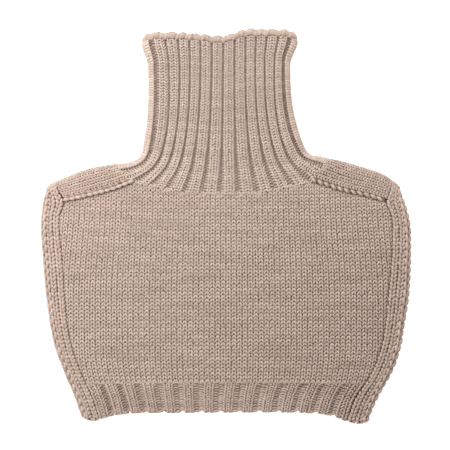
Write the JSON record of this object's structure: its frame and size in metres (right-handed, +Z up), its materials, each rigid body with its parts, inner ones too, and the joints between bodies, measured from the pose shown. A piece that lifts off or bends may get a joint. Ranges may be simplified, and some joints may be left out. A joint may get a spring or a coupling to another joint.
{
  "type": "turtleneck dickey",
  "caption": "Knitted dickey with a tall ribbed turtleneck collar, short front and back bib panels, shoulder straps, finished side bands and a ribbed hem.",
  "frame": {"origin": "on the resting surface, under the middle of the garment's outline as it lies flat, back layer down", "axes": "+X towards the viewer's right when looking down on the front, +Y from the hem to the collar's mouth, +Z up out of the front"},
  "size_m": [0.3701, 0.3939, 0.0179],
  "materials": {
    "rib_knit": "ribbed wool, matt and softly hairy",
    "stocking_knit": "plain stocking-stitch wool, matt and softly hairy",
    "edge_knit": "dense edge stitches of the same wool, matt"
  },
  "bodies": {
    "root": {"collar": "rib_knit", "collar_edge": "edge_knit", "front_panel": "stocking_knit", "back_panel": "stocking_knit", "hem_front": "rib_knit", "hem_back": "rib_knit", "shoulder_strap_left": "edge_knit", "shoulder_strap_right": "edge_knit", "side_band_left": "edge_knit", "side_band_right": "edge_knit"}
  },
  "joints": []
}
